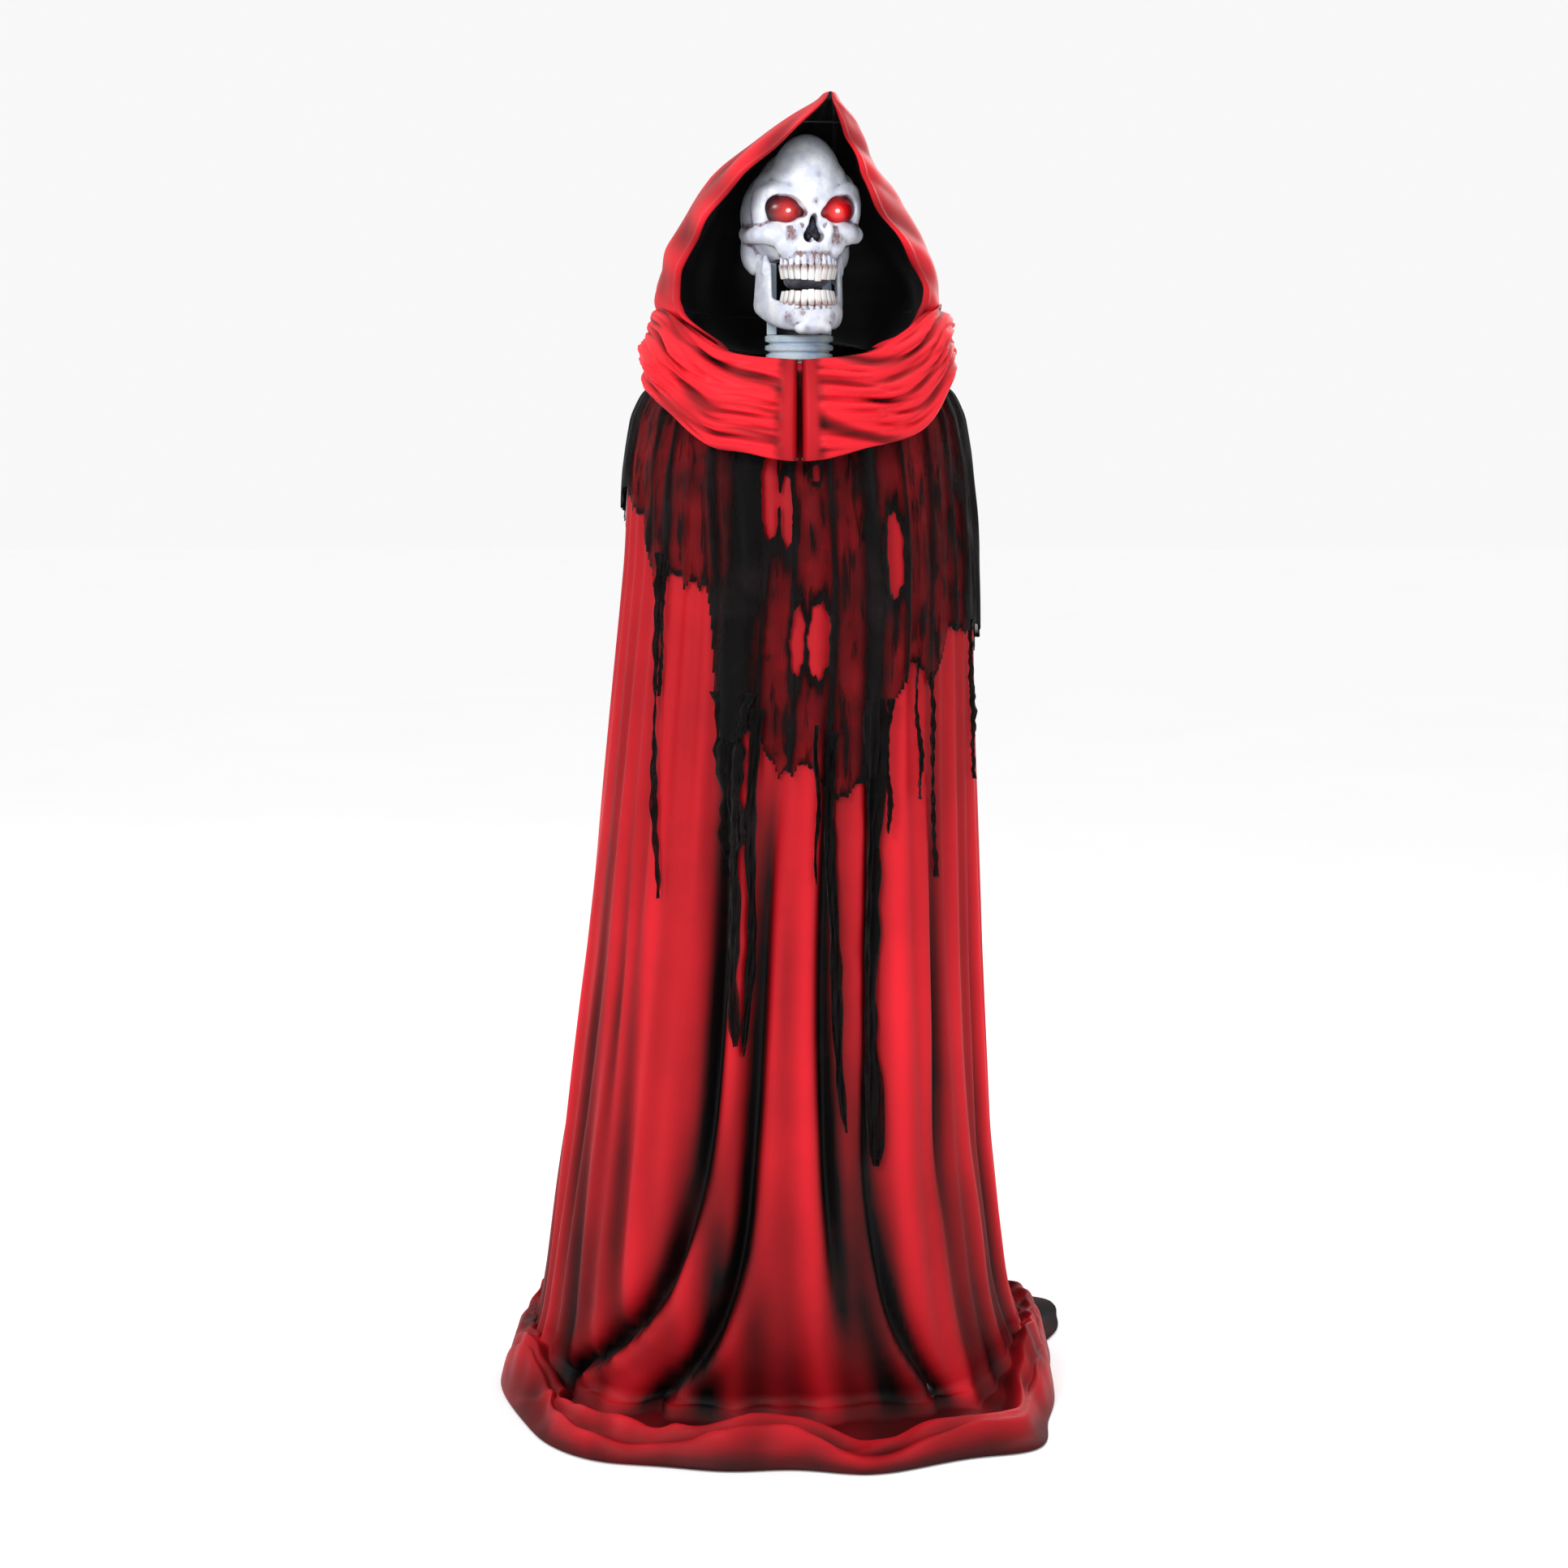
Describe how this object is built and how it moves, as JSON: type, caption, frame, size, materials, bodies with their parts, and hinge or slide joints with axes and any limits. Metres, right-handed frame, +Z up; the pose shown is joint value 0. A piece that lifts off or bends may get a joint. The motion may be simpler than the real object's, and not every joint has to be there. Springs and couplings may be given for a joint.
{
  "type": "animated hooded skeleton figure",
  "caption": "Life-size hooded skeleton figure on a steel stand, with a turning skull, a moving jaw, lit eyes and a floor-length robe.",
  "frame": {"origin": "on the floor at the middle of the figure's floor plan", "axes": "+Z up, the figure faces -Y, +X at the right of someone who looks at its face"},
  "size_m": [0.7715, 0.7998, 1.68],
  "materials": {
    "red_satin": "satin",
    "black_gauze": "loose open gauze",
    "bone_plastic": "moulded, stained brown in the hollows",
    "neck_plastic": "milky, half gloss",
    "steel_tube": "black powder coat",
    "zinc_plate": "zinc plated",
    "black_rubber": "matt",
    "grey_foam": "open-cell foam",
    "black_plastic": "fine moulded texture",
    "white_nylon": "moulded",
    "red_lens": "clear red, gloss",
    "red_led": "lit red",
    "green_board": "solder mask",
    "battery_sleeve": "printed-free sleeve"
  },
  "bodies": {
    "stand": {"base_hub": "steel_tube", "base_leg_1": "steel_tube", "base_leg_2": "steel_tube", "base_leg_3": "steel_tube", "base_leg_4": "steel_tube", "foot_cap_1": "black_rubber", "foot_cap_2": "black_rubber", "foot_cap_3": "black_rubber", "foot_cap_4": "black_rubber", "lower_pole": "steel_tube", "middle_pole": "steel_tube", "upper_pole": "steel_tube", "shoulder_yoke": "steel_tube", "yoke_screw": "zinc_plate", "shoulder_arm_left": "steel_tube", "shoulder_arm_right": "steel_tube", "shoulder_pad_left": "grey_foam", "shoulder_pad_right": "grey_foam", "hood_wire": "steel_tube", "control_box_front": "black_plastic", "control_box_back": "black_plastic", "circuit_board": "green_board", "speaker": "steel_tube", "battery_1": "battery_sleeve", "battery_2": "battery_sleeve", "battery_3": "battery_sleeve", "power_jack": "black_plastic", "neck_base": "black_plastic", "neck_motor": "zinc_plate", "robe": "red_satin", "hood": "red_satin", "cowl_left": "red_satin", "cowl_right": "red_satin", "gauze_shawl": "black_gauze", "gauze_strip_1": "black_gauze", "gauze_strip_2": "black_gauze", "gauze_strip_3": "black_gauze", "gauze_strip_4": "black_gauze", "train": "red_satin"},
    "head": {"neck_collar": "neck_plastic", "neck_ring_gear": "white_nylon", "neck_strap_left": "neck_plastic", "neck_strap_right": "neck_plastic", "skull_face": "bone_plastic", "skull_back": "bone_plastic", "eye_lens_left": "red_lens", "eye_lens_right": "red_lens", "eye_led_left": "red_led", "eye_led_right": "red_led", "jaw_bracket": "zinc_plate", "jaw_motor": "zinc_plate", "jaw_pin_left": "zinc_plate", "jaw_pin_right": "zinc_plate"},
    "jaw": {"mandible": "bone_plastic", "jaw_gear": "white_nylon"},
    "jaw_pinion": {"jaw_pinion": "white_nylon"},
    "neck_pinion": {"neck_pinion": "white_nylon"},
    "battery_door": {"battery_door": "black_plastic"},
    "power_switch": {"power_switch": "black_plastic"},
    "demo_button": {"demo_button": "red_lens"}
  },
  "joints": [
    {"name": "head_turn", "type": "hinge", "parent": "stand", "child": "head", "pos_m": [0.007, 0, 1.345], "axis": [0, 0, 1], "range_deg": [-49, 21]},
    {"name": "neck_pinion_spin", "type": "hinge", "parent": "stand", "child": "neck_pinion", "pos_m": [0.007, 0.03, 1.3095], "axis": [0, 0, 1], "range_deg": [-85, 197]},
    {"name": "jaw_hinge", "type": "hinge", "parent": "head", "child": "jaw", "pos_m": [0.00458, 0.0097, 1.487], "axis": [0.9703, 0.2419, 0], "range_deg": [-6.5, 4]},
    {"name": "jaw_pinion_spin", "type": "hinge", "parent": "head", "child": "jaw_pinion", "pos_m": [0.0463, 0.02011, 1.511], "axis": [0.9703, 0.2419, 0], "range_deg": [-13, 21]},
    {"name": "battery_door_hinge", "type": "hinge", "parent": "stand", "child": "battery_door", "pos_m": [0.007, 0.0637, 1.038], "axis": [-1, 0, 0], "range_deg": [0, 110]},
    {"name": "power_switch_slide", "type": "slide", "parent": "stand", "child": "power_switch", "axis": [0, 0, 1], "range_m": [0, 0.007]},
    {"name": "demo_button_press", "type": "slide", "parent": "stand", "child": "demo_button", "axis": [-1, 0, 0], "range_m": [0, 0.0025], "stiffness_N_per_m": 400}
  ],
  "couplings": [
    {"joint": "neck_pinion_spin", "follows": "head_turn", "ratio": -4},
    {"joint": "jaw_pinion_spin", "follows": "jaw_hinge", "ratio": -3}
  ]
}
